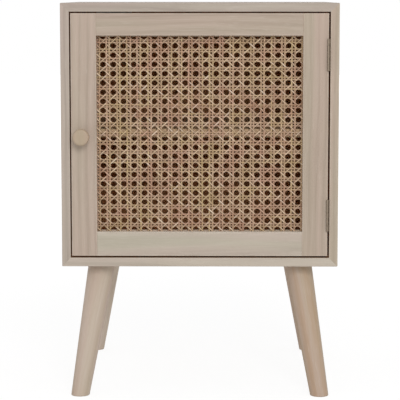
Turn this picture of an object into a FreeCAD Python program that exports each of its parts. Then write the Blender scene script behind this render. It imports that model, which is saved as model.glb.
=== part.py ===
import FreeCAD, Part
import math
import os

from FreeCAD import Vector

# Small cabinet on four splayed legs, with one inset door that holds a woven cane panel.
# Millimetres. +X is to the right, -Y is the front, +Z is up. The origin is on the floor,
# in the middle of the whole object's footprint.

# Cabinet body
width = 350.0
depth = 300.0
height = 500.0
leg_height = 167.0
board = 11.0
corner_round = 1.2
arris = 0.5

# Keys glued across the mitred corners
spline_thickness = 2.6
spline_width = 6.0
spline_end_inset = 12.0

# Back board, let into a rebate and nailed
back_thickness = 3.0
back_lap = 5.0
back_play = 0.3
nail_head_d = 3.2
nail_head_thickness = 0.6
nail_d = 1.4
nail_length = 16.0
nails_per_edge = 4
nail_end_inset = 24.0

# Loose shelf on four pins, its front edge close behind the door
shelf_thickness = 11.0
shelf_rise = 152.0
shelf_setback = 18.5
shelf_play = 0.4
shelf_back_gap = 0.5
shelf_pin_d = 5.0
shelf_pin_depth = 8.0
shelf_pin_inset = 45.0
shelf_tongue_reach = 8.0
shelf_tongue_width = 9.0
shelf_tongue_thickness = 2.0

# Legs: tapered cones, cut level with the floor at the foot and flush with the board at the top
leg_top_d = 34.4
leg_foot_d = 23.2
leg_side_inset = 48.5
leg_end_inset = 40.0
leg_splay_x = 26.8
leg_splay_y = 38.0
foot_round = 1.2

# Leg fixings
bolt_d = 8.0
bolt_leg_depth = 26.0
tee_nut_d = 10.0
tee_flange_d = 21.0
tee_flange_thickness = 1.5
tee_nut_floor = 1.5
bolt_hole_play = 0.3
dowel_d = 5.0
dowel_offset = 10.0
dowel_leg_depth = 8.0
dowel_board_depth = 6.0

# Door frame
door_side_gap = 1.7
door_hinge_gap = 2.2
door_top_gap = 1.8
door_bottom_gap = 2.4
door_setback = 0.5
door_thickness = 15.0
stile_width = 32.0
top_rail_width = 28.0
bottom_rail_width = 30.5
tenon_length = 20.0
tenon_thickness = 5.0
tenon_front_wall = 4.5
tenon_shoulder = 3.0
mortise_extra = 1.0

# Cane panel, its rebate and the beads that hold it
cane_recess = 10.0
rebate_width = 7.0
cane_thickness = 2.0
cane_play = 0.5
cane_pitch_x = 13.0
cane_pitch_z = 11.6
cane_hole_width = 6.5
cane_hole_height = 6.3
cane_lift = 1.2
bead_play = 0.2
bead_proud = 1.5
brad_d = 1.2
brad_tip_wall = 2.0
brads_per_bead = 3
brad_end_inset = 30.0

# Knob and its screw
knob_d = 20.8
knob_reach = 21.0
knob_foot_d = 12.0
knob_neck_d = 10.0
knob_neck_height = 5.0
knob_head_start = 12.0
knob_flare_bow = 1.3
knob_edge_round = 3.0
knob_inset = 13.4
knob_drop = 1.3
insert_d = 7.0
insert_length = 11.0
knob_screw_d = 4.0
knob_screw_hole_play = 0.2
knob_screw_engagement = 9.0
knob_screw_head_d = 8.0
knob_screw_head_height = 2.2
bore_end_room = 1.0

# Butt hinges, whose slim barrels stand over the door's edge, beside the gap
hinge_length = 40.0
hinge_inset = 32.0
hinge_leaf_thickness = 0.9
hinge_leaf_reach = 12.0
hinge_shift = 1.6
hinge_barrel_d = 3.0
hinge_pin_d = 1.6
hinge_pin_play = 0.05
hinge_knuckles = 5
hinge_knuckle_gap = 0.15
hinge_sweep_gap = 0.2
hinge_front_play = 0.15
hinge_screw_d = 2.4
hinge_screw_head_d = 4.8
hinge_screw_head_height = 1.2
hinge_screw_length = 10.0
hinge_screw_spacing = 25.0
hinge_screw_line = 7.5

# Magnetic catch under the top board, and its strike plate on the door
catch_inset = 54.0
catch_flange_length = 44.0
catch_flange_thickness = 2.0
catch_case_length = 28.0
catch_case_width = 12.0
catch_case_height = 12.5
catch_centre_drop = 7.5
pole_length = 20.0
pole_thickness = 1.2
pole_depth = 10.0
pole_proud = 1.0
magnet_thickness = 4.6
magnet_step = 1.0
catch_air_gap = 0.2
catch_screw_d = 2.8
catch_screw_head_d = 5.4
catch_screw_head_height = 1.6
catch_screw_length = 10.0
strike_length = 30.0
strike_height = 10.0
strike_thickness = 1.0
strike_screw_d = 2.8
strike_screw_head_d = 5.4
strike_screw_head_height = 1.6
strike_screw_length = 11.0

# Places that follow from the sizes above: the legs' slope first, because the rear feet
# and the knob are what the footprint's front and back reach to.
leg_run = Vector(leg_splay_x, leg_splay_y, -leg_height)
leg_slope = math.hypot(leg_splay_x, leg_splay_y) / leg_height
leg_taper = (leg_top_d - leg_foot_d) / 2 / leg_run.Length
cone_angle = math.atan(leg_taper)
cone_lean = math.asin(math.sin(cone_angle) * leg_run.Length / math.hypot(leg_splay_y, leg_height))
foot_lean = math.atan(leg_splay_y / leg_height) - cone_lean
foot_reach = leg_foot_d / 2 * math.cos(cone_angle) - foot_round * (1 + math.sin(foot_lean))
foot_behind = leg_splay_y - leg_end_inset + foot_reach / math.cos(foot_lean) + foot_round

reach_front = knob_reach - door_setback
reach_back = max(foot_behind, 0.0)
front = -(depth + reach_back - reach_front) / 2
back = front + depth
inner_half = width / 2 - board
floor_top = leg_height + board
ceiling = height - board

door_left = -inner_half + door_side_gap
door_right = inner_half - door_hinge_gap
door_bottom = floor_top + door_bottom_gap
door_top = ceiling - door_top_gap
door_front = front + door_setback
door_back = door_front + door_thickness
opening_left = door_left + stile_width
opening_right = door_right - stile_width
opening_bottom = door_bottom + bottom_rail_width
opening_top = door_top - top_rail_width
cane_front = door_front + cane_recess
cane_back = cane_front + cane_thickness

shelf_bottom = floor_top + shelf_rise
gap_middle = inner_half - door_hinge_gap / 2
hinge_x = gap_middle - hinge_shift
hinge_y = front - hinge_barrel_d / 2 - hinge_front_play
catch_x = door_left + catch_inset
catch_z = ceiling - catch_centre_drop
knob_x = door_left + knob_inset
knob_z = (door_bottom + door_top) / 2 - knob_drop

LEFT_RIGHT = (-1, 1)
TINY = 1e-6


def block(x0, x1, y0, y1, z0, z1):
    """A rectangular solid between two opposite corners."""
    return Part.makeBox(x1 - x0, y1 - y0, z1 - z0, Vector(x0, y0, z0))


def rod(diameter, start, end):
    """A round bar from one point to another."""
    run = end - start
    return Part.makeCylinder(diameter / 2, run.Length, start, run)


def pan_screw(tip, way, length, shank_d, head_d, head_height):
    """A screw whose pan head stands at the end of the shank; way points from tip to head."""
    seat = tip + way * length
    return rod(shank_d, tip, seat).fuse(rod(head_d, seat, seat + way * head_height)).Solids[0]


def countersunk_screw(face, inward, length, shank_d, head_d, head_height):
    """A flat-headed screw, flush at face, that points along inward."""
    head = Part.makeCone(head_d / 2, shank_d / 2, head_height, face, inward)
    return head.fuse(rod(shank_d, face + inward * head_height, face + inward * length)).Solids[0]


def carve(host, tools):
    """The host with the tools' shapes taken out of it."""
    return host.cut(tools).removeSplitter().Solids[0]


def spread(first, last, count):
    """Evenly spaced places from first to last, both included."""
    return [first + (last - first) * i / (count - 1) for i in range(count)]


def mitred_pieces(x0, x1, z0, z1, bar, y0, y1):
    """Four mitred bars of a rectangular ring, seen from the front."""
    u0, u1, v0, v1 = x0 + bar, x1 - bar, z0 + bar, z1 - bar
    outer = [(x0, z0), (x1, z0), (x1, z1), (x0, z1)]
    inner = [(u0, v0), (u1, v0), (u1, v1), (u0, v1)]
    pieces = []
    for i in range(4):
        j = (i + 1) % 4
        corners = [outer[i], outer[j], inner[j], inner[i], outer[i]]
        face = Part.Face(Part.makePolygon([Vector(x, y0, z) for x, z in corners]))
        pieces.append(face.extrude(Vector(0, y1 - y0, 0)))
    return dict(zip(("bottom", "right", "top", "left"), pieces))


# ------------------------------------------------------------------ cabinet

def eased_shell():
    """The cabinet's ring of four boards in one piece, with its corners and edges eased."""
    outer = block(-width / 2, width / 2, front, back, leg_height, height)
    long_edges = [e for e in outer.Edges if abs(e.Vertexes[0].Y - e.Vertexes[1].Y) > TINY]
    outer = outer.makeFillet(corner_round, long_edges)
    ring = outer.cut(block(-inner_half, inner_half, front, back, floor_top, ceiling))
    ends = [f for f in ring.Faces if abs(f.normalAt(0, 0).y) > 1 - TINY]
    return ring.makeChamfer(arris, [e for f in ends for e in f.Edges])


def corner_splines():
    """Thin keys across the four mitres, square to each joint's face."""
    keys = []
    for side in LEFT_RIGHT:
        for middle in (leg_height + board / 2, height - board / 2):
            x = side * (width / 2 - board / 2)
            key = block(x - spline_width / 2, x + spline_width / 2,
                        front + spline_end_inset, back - spline_end_inset,
                        middle - spline_thickness / 2, middle + spline_thickness / 2)
            above = middle > (leg_height + height) / 2
            turn = 45 if (side > 0) == above else -45
            key.rotate(Vector(x, 0, middle), Vector(0, 1, 0), turn)
            keys.append(key)
    return keys


def back_panel():
    """Thin board that closes the back, flush in the rebate."""
    reach = back_lap - back_play
    return block(-inner_half - reach, inner_half + reach, back - back_thickness, back,
                 floor_top - reach, ceiling + reach)


def back_rebate():
    """The room that the four boards leave for the back board."""
    return block(-inner_half - back_lap, inner_half + back_lap, back - back_thickness, back + board,
                 floor_top - back_lap, ceiling + back_lap)


def back_nails():
    """Flat-headed nails along the four edges of the back board."""
    line = back_lap / 2
    places = [(x, z) for z in (floor_top - line, ceiling + line)
              for x in spread(-inner_half + nail_end_inset, inner_half - nail_end_inset, nails_per_edge)]
    places += [(side * (inner_half + line), z) for side in LEFT_RIGHT
               for z in spread(floor_top + nail_end_inset, ceiling - nail_end_inset, nails_per_edge)]
    shank = nail_length - nail_head_thickness
    return [pan_screw(Vector(x, back - nail_length, z), Vector(0, 1, 0), shank, nail_d, nail_head_d,
                      nail_head_thickness) for x, z in places]


def shelf():
    """Loose board that lies on the four pins."""
    plank = block(-inner_half + shelf_play, inner_half - shelf_play, front + shelf_setback,
                  back - back_thickness - shelf_back_gap, shelf_bottom, shelf_bottom + shelf_thickness)
    return plank.makeChamfer(arris, plank.Edges)


def shelf_pins():
    """Round pins in the side boards, each with a flat tongue under the shelf."""
    pins = []
    rear = back - back_thickness - shelf_back_gap
    for side in LEFT_RIGHT:
        for y in (front + shelf_setback + shelf_pin_inset, rear - shelf_pin_inset):
            z = shelf_bottom - shelf_pin_d / 2
            wall = Vector(side * inner_half, y, z)
            pin = rod(shelf_pin_d, wall + Vector(side * shelf_pin_depth, 0, 0), wall)
            reach = sorted((side * inner_half, side * (inner_half - shelf_tongue_reach)))
            tongue = block(reach[0], reach[1], y - shelf_tongue_width / 2, y + shelf_tongue_width / 2,
                           shelf_bottom - shelf_tongue_thickness, shelf_bottom)
            pins.append(pin.fuse(tongue).Solids[0])
    return pins


# --------------------------------------------------------------------- legs

def leg_places():
    """Name, side, end and top centre of each leg; end is -1 at the front, 1 at the back."""
    places = []
    for end, row in ((-1, "front"), (1, "rear")):
        for side, hand in ((-1, "left"), (1, "right")):
            edge = front if end < 0 else back
            top = Vector(side * (width / 2 - leg_side_inset), edge - end * leg_end_inset, leg_height)
            places.append((row + "_" + hand + "_leg", side, end, top))
    return places


def leg(side, end, top):
    """One tapered leg, a leaning cone trimmed between the floor and the board, with its rim rounded."""
    down = Vector(side * leg_run.x, end * leg_run.y, leg_run.z)
    spare = leg_top_d / 2 * leg_slope + board
    tip = down * (1 + spare / down.Length)
    radii = leg_foot_d / 2 - leg_taper * spare, leg_top_d / 2 + leg_taper * spare
    cone = Part.makeCone(*radii, down.Length + 2 * spare, top + tip, down.negative())
    trimmed = cone.common(block(-width, width, -depth, depth, 0, leg_height)).Solids[0]
    rim = [e for e in trimmed.Edges if e.BoundBox.ZMax < foot_round]
    return trimmed.makeFillet(foot_round, rim).Solids[0]


def leg_bolt(top):
    """Hanger bolt, upright in the leg's flush-cut top."""
    tip = Vector(top.x, top.y, floor_top - tee_nut_floor)
    return rod(bolt_d, top - Vector(0, 0, bolt_leg_depth), tip)


def tee_nut(top):
    """Flanged nut let into the bottom board from inside the cabinet."""
    under = Vector(top.x, top.y, floor_top - tee_flange_thickness)
    flange = rod(tee_flange_d, under, Vector(top.x, top.y, floor_top))
    sleeve = rod(tee_nut_d, Vector(top.x, top.y, leg_height + tee_nut_floor), under)
    return flange.fuse(sleeve).Solids[0]


def leg_dowel(side, end, top):
    """Small dowel beside the bolt, towards the middle of the cabinet, that stops the leg turning."""
    inward = Vector(-side * leg_splay_x, -end * leg_splay_y, 0).normalize() * dowel_offset
    start = top + inward - Vector(0, 0, dowel_leg_depth)
    return rod(dowel_d, start, start + Vector(0, 0, dowel_leg_depth + dowel_board_depth))


# --------------------------------------------------------------------- door

def rail(z0, z1, opening_side):
    """One rail with a stub tenon at each end; opening_side is 1 where the opening is above it."""
    bar = block(opening_left, opening_right, door_front, door_back, z0, z1)
    low, high = z0 + tenon_shoulder, z1 - tenon_shoulder
    if opening_side > 0:
        high -= rebate_width
    else:
        low += rebate_width
    return bar, (low, high)


def tenons(span, extra):
    """The two tenons of a rail, or with extra length the mortises that they fill."""
    reach = tenon_length + extra
    y0 = door_front + tenon_front_wall
    y1 = y0 + tenon_thickness
    return [block(opening_left - reach, opening_left, y0, y1, span[0], span[1]),
            block(opening_right, opening_right + reach, y0, y1, span[0], span[1])]


def cane_rebate():
    """The room behind the frame's front lip, where the cane and its beads lie."""
    return block(opening_left - rebate_width, opening_right + rebate_width,
                 cane_front, door_back + board,
                 opening_bottom - rebate_width, opening_top + rebate_width)


def eased(bar):
    """The bar with a small arris round its front face."""
    return bar.makeChamfer(arris, [e for f in bar.Faces if abs(f.CenterOfMass.y - door_front) < TINY
                                   for e in f.Edges])


def door_frame():
    """Two stiles and two rails, eased on their front edges, with mortises and the cane's rebate."""
    bottom_bar, bottom_span = rail(door_bottom, opening_bottom, 1)
    top_bar, top_span = rail(opening_top, door_top, -1)
    mortises = tenons(bottom_span, mortise_extra) + tenons(top_span, mortise_extra)
    frame = {}
    for hand, x0, x1 in (("left", door_left, opening_left), ("right", opening_right, door_right)):
        stile = block(x0, x1, door_front, door_back, door_bottom, door_top)
        frame["door_" + hand + "_stile"] = eased(stile).cut(mortises)
    frame["door_bottom_rail"] = eased(bottom_bar).fuse(tenons(bottom_span, 0))
    frame["door_top_rail"] = eased(top_bar).fuse(tenons(top_span, 0))
    return {name: carve(piece, [cane_rebate()]) for name, piece in frame.items()}


def octagon(x, y, z):
    """An eight-sided hole outline of the weave, centred on a place in the panel."""
    half_w, half_h = cane_hole_width / 2, cane_hole_height / 2
    cut = half_h * (2 - math.sqrt(2))
    side, end = half_h - cut, half_w - cut
    corners = [(half_w, side), (end, half_h), (-end, half_h), (-half_w, side),
               (-half_w, -side), (-end, -half_h), (end, -half_h), (half_w, -side)]
    return Part.makePolygon([Vector(x + u, y, z + v) for u, v in corners + corners[:1]])


def cane_webbing():
    """Woven panel: a thin sheet pierced by its grid of eight-sided holes."""
    x0, x1 = opening_left - rebate_width + cane_play, opening_right + rebate_width - cane_play
    z0, z1 = opening_bottom - rebate_width + cane_play, opening_top + rebate_width - cane_play
    sheet = Part.Face(Part.makePolygon([Vector(x, cane_front, z) for x, z in
                                        ((x0, z0), (x1, z0), (x1, z1), (x0, z1), (x0, z0))]))
    middle_x, half_x = (opening_left + opening_right) / 2, (opening_right - opening_left) / 2
    middle_z, half_z = (opening_bottom + opening_top) / 2, (opening_top - opening_bottom) / 2
    columns, rows = round(half_x / cane_pitch_x), round(half_z / cane_pitch_z)
    holes = [Part.Face(octagon(middle_x + (i + 0.5) * cane_pitch_x, cane_front,
                               middle_z + (j + 0.5) * cane_pitch_z + cane_lift))
             for i in range(-columns, columns) for j in range(-rows, rows)]
    return sheet.cut(Part.makeCompound(holes)).Faces[0].extrude(Vector(0, cane_thickness, 0)).Solids[0]


def cane_beads():
    """Four mitred strips that press the cane to the frame's lip, and stand proud of it inside."""
    reach = rebate_width - bead_play
    pieces = mitred_pieces(opening_left - reach, opening_right + reach,
                           opening_bottom - reach, opening_top + reach,
                           reach + bead_proud, cane_back, door_back)
    return {"cane_bead_" + place: piece for place, piece in pieces.items()}


def bead_brads():
    """Headless brads through the beads and the cane, into the frame's lip."""
    line = rebate_width / 2
    inset = brad_end_inset
    places = [(x, z) for z in (opening_bottom - line, opening_top + line)
              for x in spread(opening_left + inset, opening_right - inset, brads_per_bead)]
    places += [(x, z) for x in (opening_left - line, opening_right + line)
               for z in spread(opening_bottom + inset, opening_top - inset, brads_per_bead)]
    tip_y = door_front + brad_tip_wall
    return [rod(brad_d, Vector(x, tip_y, z), Vector(x, door_back, z)) for x, z in places]


def knob():
    """Turned knob with a waisted neck and a flat, round-edged face."""
    root, crown = Vector(0, 0, 0), Vector(0, knob_reach, 0)
    low = Vector(knob_foot_d / 2, 0, 0)
    waist = Vector(knob_neck_d / 2, knob_neck_height, 0)
    shoulder = Vector(knob_d / 2, knob_head_start, 0)
    chord = shoulder - waist
    flare = (waist + shoulder) / 2 + Vector(-chord.y, chord.x, 0).normalize() * knob_flare_bow
    edge = Vector(knob_d / 2, knob_reach - knob_edge_round, 0)
    round_in = knob_edge_round * (1 - math.sqrt(0.5))
    bend = Vector(knob_d / 2 - round_in, knob_reach - round_in, 0)
    lip = Vector(knob_d / 2 - knob_edge_round, knob_reach, 0)
    outline = [Part.LineSegment(root, low), Part.LineSegment(low, waist), Part.Arc(waist, flare, shoulder),
               Part.LineSegment(shoulder, edge), Part.Arc(edge, bend, lip), Part.LineSegment(lip, crown),
               Part.LineSegment(crown, root)]
    profile = Part.Face(Part.Wire([piece.toShape() for piece in outline]))
    turned = profile.revolve(Vector(0, 0, 0), Vector(0, 1, 0), 360)
    turned.rotate(Vector(0, 0, 0), Vector(0, 0, 1), 180)
    turned.translate(Vector(knob_x, door_front, knob_z))
    return turned.Solids[0]


def knob_insert():
    """Threaded sleeve in the knob's foot."""
    face = Vector(knob_x, door_front, knob_z)
    return rod(insert_d, face - Vector(0, insert_length, 0), face)


def knob_screw():
    """Machine screw from the back of the stile into the knob."""
    tip = Vector(knob_x, door_front - knob_screw_engagement, knob_z)
    return pan_screw(tip, Vector(0, 1, 0), knob_screw_engagement + door_thickness, knob_screw_d,
                     knob_screw_head_d, knob_screw_head_height)


def knob_bores():
    """Room in the knob for the insert, and room in the stile for the screw."""
    deep = Vector(knob_x, door_front - insert_length - bore_end_room, knob_z)
    face = Vector(knob_x, door_front, knob_z)
    through = rod(knob_screw_d + 2 * knob_screw_hole_play, face, face + Vector(0, door_thickness, 0))
    return rod(insert_d, deep, face), through


# ------------------------------------------------------------------- hinges

def hinge_heights():
    """Lower end of each hinge."""
    return {"lower": door_bottom + hinge_inset, "upper": door_top - hinge_inset - hinge_length}


def hinge_leaf(side, z0):
    """One leaf: side 1 is fixed to the cabinet and has the end knuckles, side -1 to the door."""
    axis = Vector(hinge_x, hinge_y, 0)
    near = door_hinge_gap / 2 - hinge_leaf_thickness
    far = door_hinge_gap / 2
    x0, x1 = sorted((gap_middle + side * near, gap_middle + side * far))
    clear = hinge_barrel_d / 2 + hinge_sweep_gap
    leaf = block(x0, x1, hinge_y + clear, hinge_y + hinge_leaf_reach, z0, z0 + hinge_length)
    pitch = hinge_length / hinge_knuckles
    root = hinge_pin_d / 2 + hinge_pin_play + hinge_knuckle_gap
    pin_room = hinge_pin_d + (0 if side > 0 else 2 * hinge_pin_play)
    for i in range(0 if side > 0 else 1, hinge_knuckles, 2):
        low = z0 + i * pitch + (hinge_knuckle_gap / 2 if i > 0 else 0)
        high = z0 + (i + 1) * pitch - (hinge_knuckle_gap / 2 if i < hinge_knuckles - 1 else 0)
        barrel = rod(hinge_barrel_d, axis + Vector(0, 0, low), axis + Vector(0, 0, high))
        tab = block(x0, x1, hinge_y + root, hinge_y + clear, low, high)
        wrap = block(hinge_x, x1, hinge_y + root, hinge_y + hinge_barrel_d / 2, low, high)
        leaf = leaf.fuse([barrel, tab, wrap])
    bore = rod(pin_room, axis + Vector(0, 0, z0), axis + Vector(0, 0, z0 + hinge_length))
    return carve(leaf, [bore])


def hinge_pin(z0):
    """Pin that the cabinet's leaf grips and the door's leaf turns on."""
    return rod(hinge_pin_d, Vector(hinge_x, hinge_y, z0), Vector(hinge_x, hinge_y, z0 + hinge_length))


def hinge_screws(side):
    """Countersunk screws of one side's leaves, upper and lower."""
    face_x = gap_middle + side * (door_hinge_gap / 2 - hinge_leaf_thickness)
    screws = []
    for z0 in hinge_heights().values():
        for offset in (-hinge_screw_spacing / 2, hinge_screw_spacing / 2):
            face = Vector(face_x, hinge_y + hinge_screw_line, z0 + hinge_length / 2 + offset)
            screws.append(countersunk_screw(face, Vector(side, 0, 0), hinge_screw_length, hinge_screw_d,
                                            hinge_screw_head_d, hinge_screw_head_height))
    return screws


# -------------------------------------------------------------------- catch

def catch_front():
    """Plane of the pole plates' ends, just behind the strike plate."""
    return door_back + strike_thickness + catch_air_gap


def catch_stack():
    """Two steel pole plates with the magnet between them."""
    y0 = catch_front()
    x0, x1 = catch_x - pole_length / 2, catch_x + pole_length / 2
    half = magnet_thickness / 2
    magnet = block(x0, x1, y0 + magnet_step, y0 + pole_depth, catch_z - half, catch_z + half)
    poles = [block(x0, x1, y0, y0 + pole_depth, catch_z + half, catch_z + half + pole_thickness),
             block(x0, x1, y0, y0 + pole_depth, catch_z - half - pole_thickness, catch_z - half)]
    return magnet, poles


def catch_screws():
    """Pan-headed screws up through the flange into the top board."""
    y = catch_front() + pole_proud + catch_case_width / 2
    reach = (catch_flange_length + catch_case_length) / 4
    under = ceiling - catch_flange_thickness
    return [pan_screw(Vector(catch_x + side * reach, y, under + catch_screw_length), Vector(0, 0, -1),
                      catch_screw_length, catch_screw_d, catch_screw_head_d, catch_screw_head_height)
            for side in LEFT_RIGHT]


def catch_housing():
    """Plastic case with a flange on the board above and a pocket for the magnet."""
    y0 = catch_front() + pole_proud
    y1 = y0 + catch_case_width
    case = block(catch_x - catch_case_length / 2, catch_x + catch_case_length / 2, y0, y1,
                 ceiling - catch_case_height, ceiling)
    flange = block(catch_x - catch_flange_length / 2, catch_x + catch_flange_length / 2, y0, y1,
                   ceiling - catch_flange_thickness, ceiling)
    half = magnet_thickness / 2 + pole_thickness
    pocket = block(catch_x - pole_length / 2, catch_x + pole_length / 2, y0, catch_front() + pole_depth,
                   catch_z - half, catch_z + half)
    return carve(case.fuse(flange), [pocket] + catch_screws())


def strike_plate():
    """Steel plate on the back of the top rail."""
    return block(catch_x - strike_length / 2, catch_x + strike_length / 2,
                 door_back, door_back + strike_thickness,
                 catch_z - strike_height / 2, catch_z + strike_height / 2)


def strike_screw():
    """Countersunk screw of the strike plate."""
    face = Vector(catch_x, door_back + strike_thickness, catch_z)
    return countersunk_screw(face, Vector(0, -1, 0), strike_screw_length, strike_screw_d,
                             strike_screw_head_d, strike_screw_head_height)


# ----------------------------------------------------------------- assembly

def cabinet_parts():
    """The four boards with their cut-outs, and everything that is fixed to them."""
    boards = mitred_pieces(-width / 2, width / 2, leg_height, height, board, front, back)
    shell = eased_shell()
    splines, nails, pins = corner_splines(), back_nails(), shelf_pins()
    bolts, nuts, dowels, bolt_holes = [], [], [], []
    parts = {}
    for name, side, end, top in leg_places():
        bolt, nut, dowel = leg_bolt(top), tee_nut(top), leg_dowel(side, end, top)
        parts[name] = carve(leg(side, end, top), [bolt, dowel])
        bolts.append(bolt)
        dowels.append(dowel)
        nuts.append(carve(nut, [bolt]))
        way_in = top + Vector(0, 0, tee_nut_floor)
        bolt_holes += [rod(bolt_d + 2 * bolt_hole_play, top, way_in), nut]
    screws = hinge_screws(1)
    cuts = {"top": catch_screws(), "bottom": bolt_holes + dowels, "left": pins, "right": pins + screws}
    for place, bar in boards.items():
        name = place + ("_side_panel" if place in ("left", "right") else "_panel")
        parts[name] = carve(shell.common(bar), splines + [back_rebate()] + nails + cuts[place])
    magnet, poles = catch_stack()
    parts["corner_splines"] = Part.makeCompound(splines)
    parts["back_panel"] = carve(back_panel(), nails)
    parts["back_panel_nails"] = Part.makeCompound(nails)
    parts["shelf"] = shelf()
    parts["shelf_pins"] = Part.makeCompound(pins)
    parts["leg_bolts"] = Part.makeCompound(bolts)
    parts["leg_tee_nuts"] = Part.makeCompound(nuts)
    parts["leg_dowels"] = Part.makeCompound(dowels)
    parts["catch_housing"] = catch_housing()
    parts["catch_magnet"] = magnet
    parts["catch_pole_plates"] = Part.makeCompound(poles)
    parts["catch_screws"] = Part.makeCompound(catch_screws())
    parts["carcass_hinge_screws"] = Part.makeCompound(screws)
    for place, z0 in hinge_heights().items():
        parts[place + "_hinge_carcass_leaf"] = carve(hinge_leaf(1, z0), screws)
        parts[place + "_hinge_pin"] = hinge_pin(z0)
    return parts


def door_parts():
    """The framed door with its cane, knob, strike plate and hinge leaves."""
    parts = door_frame()
    brads, screws = bead_brads(), hinge_screws(-1)
    insert_room, screw_room = knob_bores()
    for name in ("door_left_stile", "door_right_stile", "door_top_rail", "door_bottom_rail"):
        parts[name] = carve(parts[name], brads + screws + [screw_room, strike_screw()])
    parts["cane_webbing"] = carve(cane_webbing(), brads)
    for name, bead in cane_beads().items():
        parts[name] = carve(bead, brads)
    parts["cane_bead_brads"] = Part.makeCompound(brads)
    parts["knob"] = carve(knob(), [insert_room])
    parts["knob_insert"] = carve(knob_insert(), [knob_screw()])
    parts["knob_screw"] = knob_screw()
    parts["strike_plate"] = carve(strike_plate(), [strike_screw()])
    parts["strike_screw"] = strike_screw()
    parts["door_hinge_screws"] = Part.makeCompound(screws)
    for place, z0 in hinge_heights().items():
        parts[place + "_hinge_door_leaf"] = carve(hinge_leaf(-1, z0), screws)
    return parts


os.makedirs("parts", exist_ok=True)
for group in (cabinet_parts(), door_parts()):
    for node, shape in group.items():
        shape.exportStep("parts/" + node + ".step")
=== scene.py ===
import math
import random

import bmesh
import bpy
import numpy as np
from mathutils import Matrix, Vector


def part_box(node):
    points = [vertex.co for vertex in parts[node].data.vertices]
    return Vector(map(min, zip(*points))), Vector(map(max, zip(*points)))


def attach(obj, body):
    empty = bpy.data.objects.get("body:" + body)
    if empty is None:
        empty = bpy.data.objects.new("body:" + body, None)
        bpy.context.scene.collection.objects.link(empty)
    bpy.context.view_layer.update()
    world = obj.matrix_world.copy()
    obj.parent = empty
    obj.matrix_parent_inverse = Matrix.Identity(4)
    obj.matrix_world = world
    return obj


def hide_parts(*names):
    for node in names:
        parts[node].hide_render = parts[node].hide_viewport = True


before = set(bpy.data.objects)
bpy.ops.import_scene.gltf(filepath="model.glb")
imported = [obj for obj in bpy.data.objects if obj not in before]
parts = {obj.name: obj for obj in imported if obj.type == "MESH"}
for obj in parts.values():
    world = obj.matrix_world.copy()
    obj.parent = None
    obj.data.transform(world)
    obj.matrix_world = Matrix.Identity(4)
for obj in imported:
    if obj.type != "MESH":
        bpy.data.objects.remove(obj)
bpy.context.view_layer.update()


# ---------------------------------------------------------------- cabinet boards
# Top, bottom and two sides: 11 mm solid boards, mitred and glued into a ring. The wood is
# limed outside: a thin grey-beige wash sits in the grain under a matt lacquer. Behind the
# door, the wood keeps its own warm brown under the lacquer alone.

# A colour mix node's sockets, by number, because several of them share a name.
MIX_SHARE, MIX_UNDER, MIX_OVER, MIX_RESULT = 0, 6, 7, 2


def paint(red, green, blue):
    """A colour as it looks on a screen, 0 to 255, in the linear values that a socket takes."""
    levels = []
    for level in (red, green, blue):
        share = level / 255
        levels.append(share / 12.92 if share <= 0.04045 else ((share + 0.055) / 1.055) ** 2.4)
    return (*levels, 1.0)


def feed(tree, node, sockets):
    """Fills a node's sockets, by name or in their order. Each takes a value, an output, or a node
    for its first output."""
    for key, value in sockets.items() if isinstance(sockets, dict) else enumerate(sockets):
        if isinstance(value, bpy.types.Node):
            value = value.outputs[0]
        if isinstance(value, bpy.types.NodeSocket):
            tree.links.new(value, node.inputs[key])
        else:
            node.inputs[key].default_value = value


def add(tree, kind, sockets=(), **settings):
    """Adds one shader node with its settings, and fills its sockets."""
    node = tree.nodes.new("ShaderNode" + kind)
    for name, value in settings.items():
        setattr(node, name, value)
    feed(tree, node, sockets)
    return node


def calc(tree, operation, *values):
    """One sum on numbers."""
    return add(tree, "Math", values, operation=operation)


def from_middle(tree, value):
    """How far a value of 0 to 1 lies above or below a half."""
    return calc(tree, "SUBTRACT", value, 0.5)


def stretch(tree, place, waves):
    """A place multiplied along each of its axes."""
    return add(tree, "VectorMath", (place, waves), operation="MULTIPLY")


def noise(tree, place, detail=2.0):
    """Soft random values, one swing to a unit."""
    return add(tree, "TexNoise", {"Vector": place, "Scale": 1.0, "Detail": detail})


def ease(tree, value, low, high, start=0.0, end=1.0):
    """A smooth step from start to end as the value goes from low to high."""
    return add(tree, "MapRange", (value, low, high, start, end), interpolation_type="SMOOTHSTEP")


def blend(tree, share, under, over, how="MIX"):
    """One colour laid over another."""
    sockets = {MIX_SHARE: share, MIX_UNDER: under, MIX_OVER: over}
    return add(tree, "Mix", sockets, data_type="RGBA", blend_type=how).outputs[MIX_RESULT]


def relief(tree, height, strength, depth):
    """A fine relief, so many metres deep at full strength."""
    return add(tree, "Bump", {"Strength": strength, "Distance": depth, "Height": height})


def place_on(tree):
    """Where a point lies on its piece, in metres."""
    return add(tree, "TexCoord").outputs["Object"]


def node_group(name, inputs, outputs):
    """A new shader node group with its named sockets, and its input and output nodes."""
    tree = bpy.data.node_groups.new(name, "ShaderNodeTree")
    for socket, kind in inputs.items():
        tree.interface.new_socket(socket, in_out="INPUT", socket_type="NodeSocket" + kind)
    for socket, kind in outputs.items():
        tree.interface.new_socket(socket, in_out="OUTPUT", socket_type="NodeSocket" + kind)
    return tree, tree.nodes.new("NodeGroupInput"), tree.nodes.new("NodeGroupOutput")


def new_finish(name):
    """A new material, its node tree and its surface shader."""
    material = bpy.data.materials.new(name)
    material.use_nodes = True
    return material, material.node_tree, material.node_tree.nodes["Principled BSDF"]


# The values between which soft noise mostly stays.
NOISE_SPAN = (0.3, 0.7)

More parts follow.
